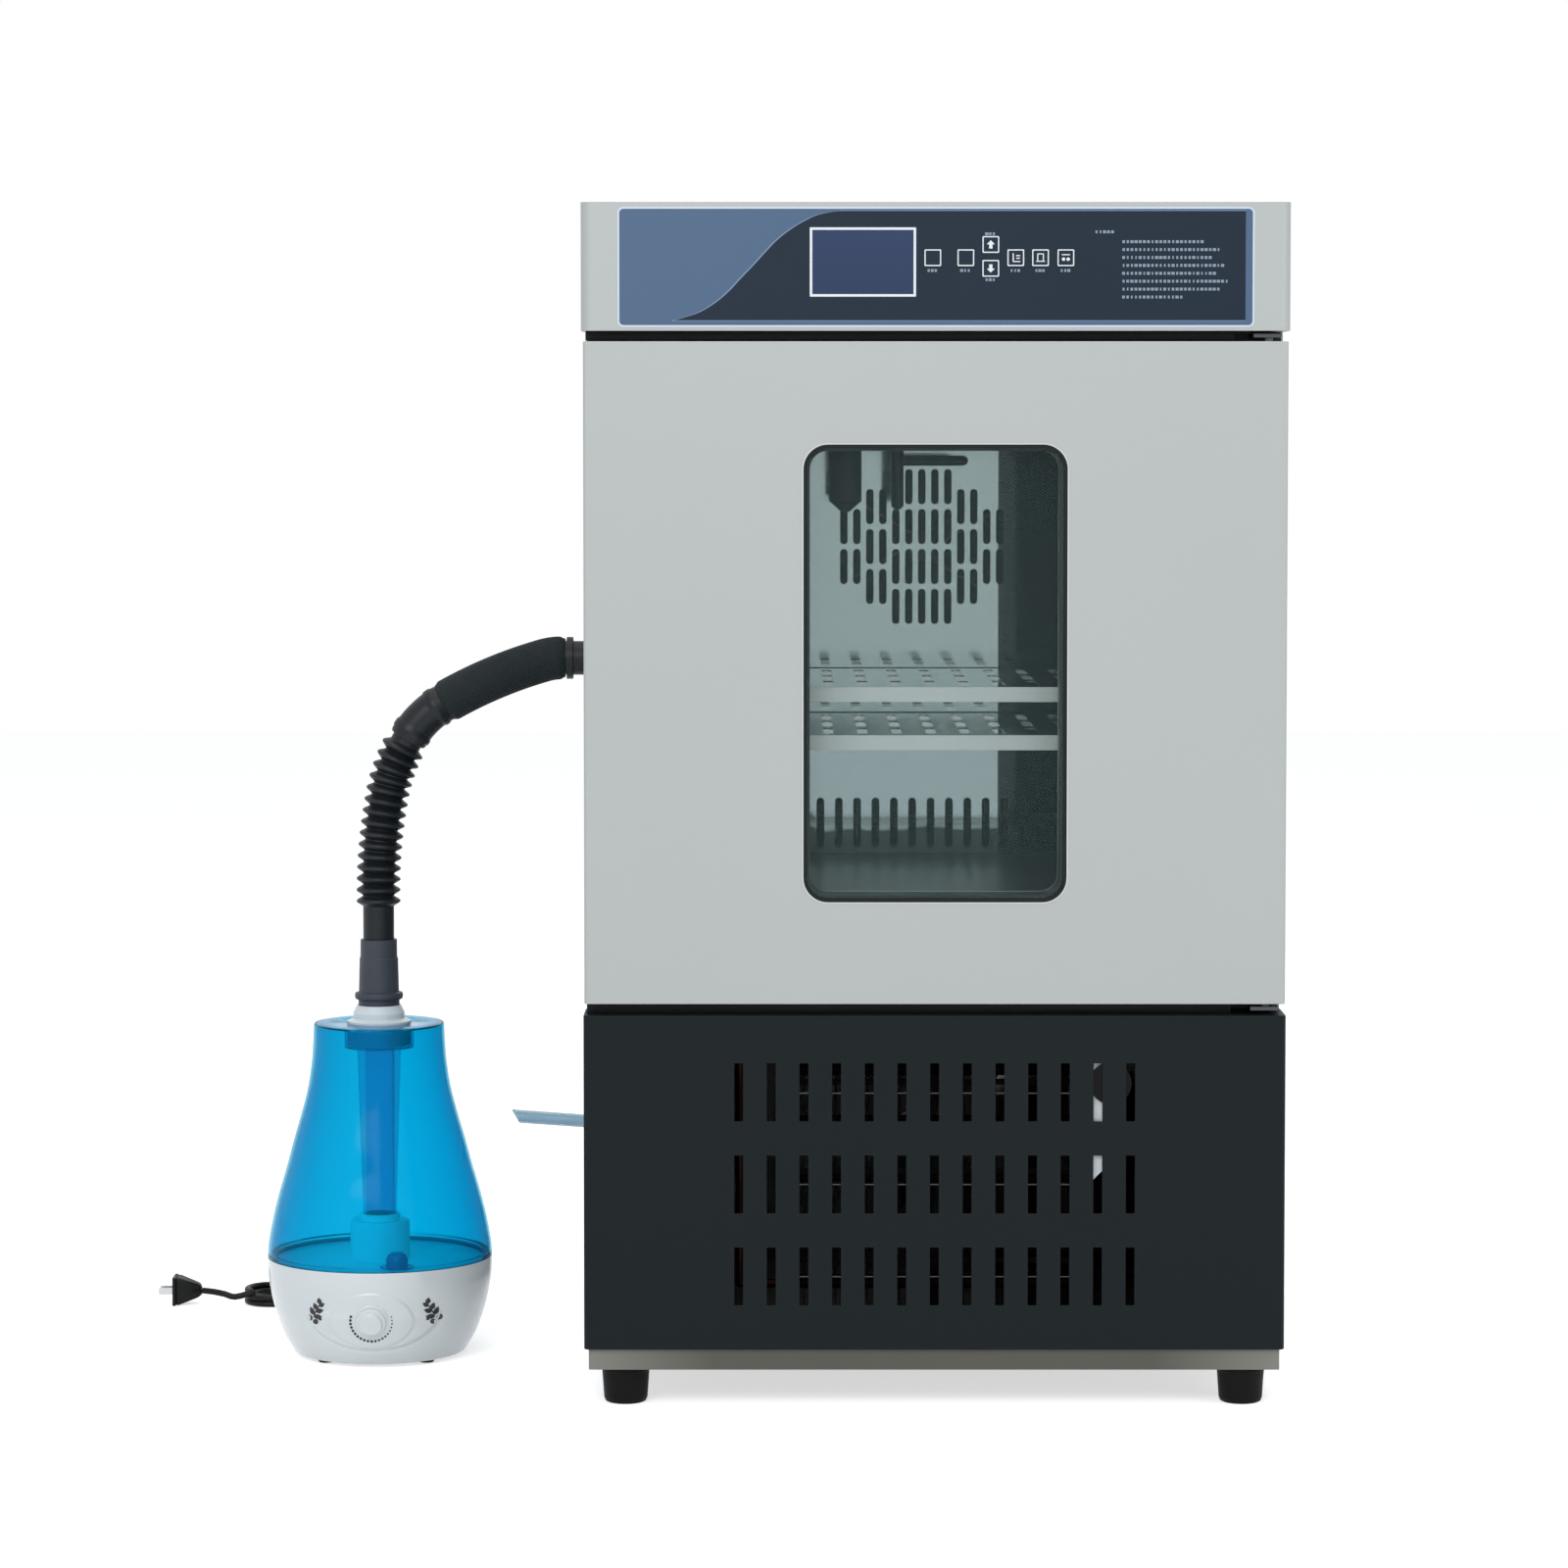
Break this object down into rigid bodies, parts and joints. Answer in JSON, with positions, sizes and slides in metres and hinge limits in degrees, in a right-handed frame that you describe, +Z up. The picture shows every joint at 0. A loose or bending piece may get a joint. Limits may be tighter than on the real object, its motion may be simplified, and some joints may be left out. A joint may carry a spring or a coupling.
{
  "type": "humidity incubator",
  "caption": "Floor-standing climate incubator with glazed door, slotted machine bay, console keys and a hose-fed mist humidifier beside it",
  "frame": {"origin": "on the floor under the middle of the cabinet's footprint", "axes": "+X to the cabinet's right, +Y to its back, +Z up"},
  "size_m": [1.032, 0.5636, 1.0325],
  "materials": {
    "cream_paint": "semi-gloss, light warm grey",
    "base_paint": "semi-gloss, cream",
    "charcoal_paint": "semi-gloss, charcoal",
    "black_paint": "gloss",
    "black_rubber": "matt",
    "cord_rubber": "satin",
    "sleeve_rubber": "matt, fine weave",
    "stainless": "bright, fine brushed",
    "dull_steel": "dull",
    "bright_steel": "bright",
    "fin_aluminium": "satin",
    "copper": "copper, dull",
    "foam": "rigid foam",
    "black_plastic": "satin",
    "liner_plastic": "satin",
    "spacer_grey": "matt",
    "hose_plastic": "satin",
    "cuff_plastic": "satin",
    "fan_plastic": "satin",
    "board_green": "matt",
    "overlay_print": "printed film",
    "display_glass": "gloss",
    "white_plastic": "gloss",
    "blue_tank": "translucent blue",
    "blue_cap": "gloss",
    "clear_tube": "clear, bluish",
    "pane": "clear float glass"
  },
  "bodies": {
    "cabinet": {"outer_casing": "cream_paint", "rear_panel": "cream_paint", "base_frame": "base_paint", "feet": "black_rubber", "lower_front_panel": "charcoal_paint", "chamber_liner": "stainless", "insulation": "foam", "front_frame": "black_plastic", "duct_cover": "stainless", "heater": "dull_steel", "evaporator": "fin_aluminium", "fan_motor": "dull_steel", "shelf_rails": "stainless", "humidity_sensor": "black_plastic", "temperature_probe": "black_plastic", "humidity_port": "hose_plastic", "drain_spout": "clear_tube", "console_housing": "cream_paint", "control_panel": "overlay_print", "display": "display_glass", "circuit_board": "board_green", "hinge_brackets": "bright_steel", "compressor": "black_paint", "condenser": "fin_aluminium", "condenser_fan_motor": "dull_steel", "refrigerant_pipes": "copper", "mains_inlet": "black_plastic", "screws": "bright_steel", "hose_sleeve": "sleeve_rubber", "hose_collar": "hose_plastic", "corrugated_hose": "hose_plastic", "humidifier_base": "white_plastic", "basin": "white_plastic", "power_cord": "cord_rubber", "cord_hank": "cord_rubber", "plug": "cord_rubber"},
    "door": {"door_shell": "cream_paint", "door_liner": "liner_plastic", "door_gasket": "black_rubber", "window_seal": "black_rubber", "window_frame": "spacer_grey", "outer_glass": "pane", "inner_glass": "pane"},
    "upper_shelf": {"shelf_upper": "stainless"},
    "lower_shelf": {"shelf_lower": "stainless"},
    "chamber_fan": {"circulation_fan": "fan_plastic"},
    "cooling_fan": {"condenser_fan": "fan_plastic"},
    "tank": {"tank_shell": "blue_tank", "mist_tube": "blue_tank", "nozzle": "white_plastic", "tank_cap": "blue_cap", "hose_cuff": "cuff_plastic"},
    "mist_dial": {"dial": "white_plastic"},
    "button_1": {"key_1": "overlay_print"},
    "button_2": {"key_2": "overlay_print"},
    "button_3": {"key_3": "overlay_print"},
    "button_4": {"key_4": "overlay_print"},
    "button_5": {"key_5": "overlay_print"},
    "button_6": {"key_6": "overlay_print"},
    "button_7": {"key_7": "overlay_print"}
  },
  "joints": [
    {"name": "door_hinge", "type": "hinge", "parent": "cabinet", "child": "door", "pos_m": [0.284, -0.262, 0.6315], "axis": [0, 0, 1], "range_deg": [0, 120]},
    {"name": "upper_shelf_slide", "type": "slide", "parent": "cabinet", "child": "upper_shelf", "axis": [0, -1, 0], "range_m": [0, 0.025]},
    {"name": "lower_shelf_slide", "type": "slide", "parent": "cabinet", "child": "lower_shelf", "axis": [0, -1, 0], "range_m": [0, 0.025]},
    {"name": "circulation_fan_spin", "type": "hinge", "parent": "cabinet", "child": "chamber_fan", "pos_m": [0, 0.165, 0.73], "axis": [0, 1, 0], "continuous": true},
    {"name": "condenser_fan_spin", "type": "hinge", "parent": "cabinet", "child": "cooling_fan", "pos_m": [0, -0.105, 0.19], "axis": [0, 1, 0], "continuous": true},
    {"name": "tank_lift", "type": "slide", "parent": "cabinet", "child": "tank", "axis": [0, 0, 1], "range_m": [0, 0.04], "deforming": ["corrugated_hose"]},
    {"name": "mist_dial_turn", "type": "hinge", "parent": "cabinet", "child": "mist_dial", "pos_m": [-0.497, -0.1265, 0.046], "axis": [0, -0.9613, -0.2756], "range_deg": [0, 270]},
    {"name": "key_1_press", "type": "slide", "parent": "cabinet", "child": "button_1", "axis": [0, 1, 0], "range_m": [0, 0.0005], "stiffness_N_per_m": 800, "springref_m": -0.0005},
    {"name": "key_2_press", "type": "slide", "parent": "cabinet", "child": "button_2", "axis": [0, 1, 0], "range_m": [0, 0.0005], "stiffness_N_per_m": 800, "springref_m": -0.0005},
    {"name": "key_3_press", "type": "slide", "parent": "cabinet", "child": "button_3", "axis": [0, 1, 0], "range_m": [0, 0.0005], "stiffness_N_per_m": 800, "springref_m": -0.0005},
    {"name": "key_4_press", "type": "slide", "parent": "cabinet", "child": "button_4", "axis": [0, 1, 0], "range_m": [0, 0.0005], "stiffness_N_per_m": 800, "springref_m": -0.0005},
    {"name": "key_5_press", "type": "slide", "parent": "cabinet", "child": "button_5", "axis": [0, 1, 0], "range_m": [0, 0.0005], "stiffness_N_per_m": 800, "springref_m": -0.0005},
    {"name": "key_6_press", "type": "slide", "parent": "cabinet", "child": "button_6", "axis": [0, 1, 0], "range_m": [0, 0.0005], "stiffness_N_per_m": 800, "springref_m": -0.0005},
    {"name": "key_7_press", "type": "slide", "parent": "cabinet", "child": "button_7", "axis": [0, 1, 0], "range_m": [0, 0.0005], "stiffness_N_per_m": 800, "springref_m": -0.0005}
  ]
}
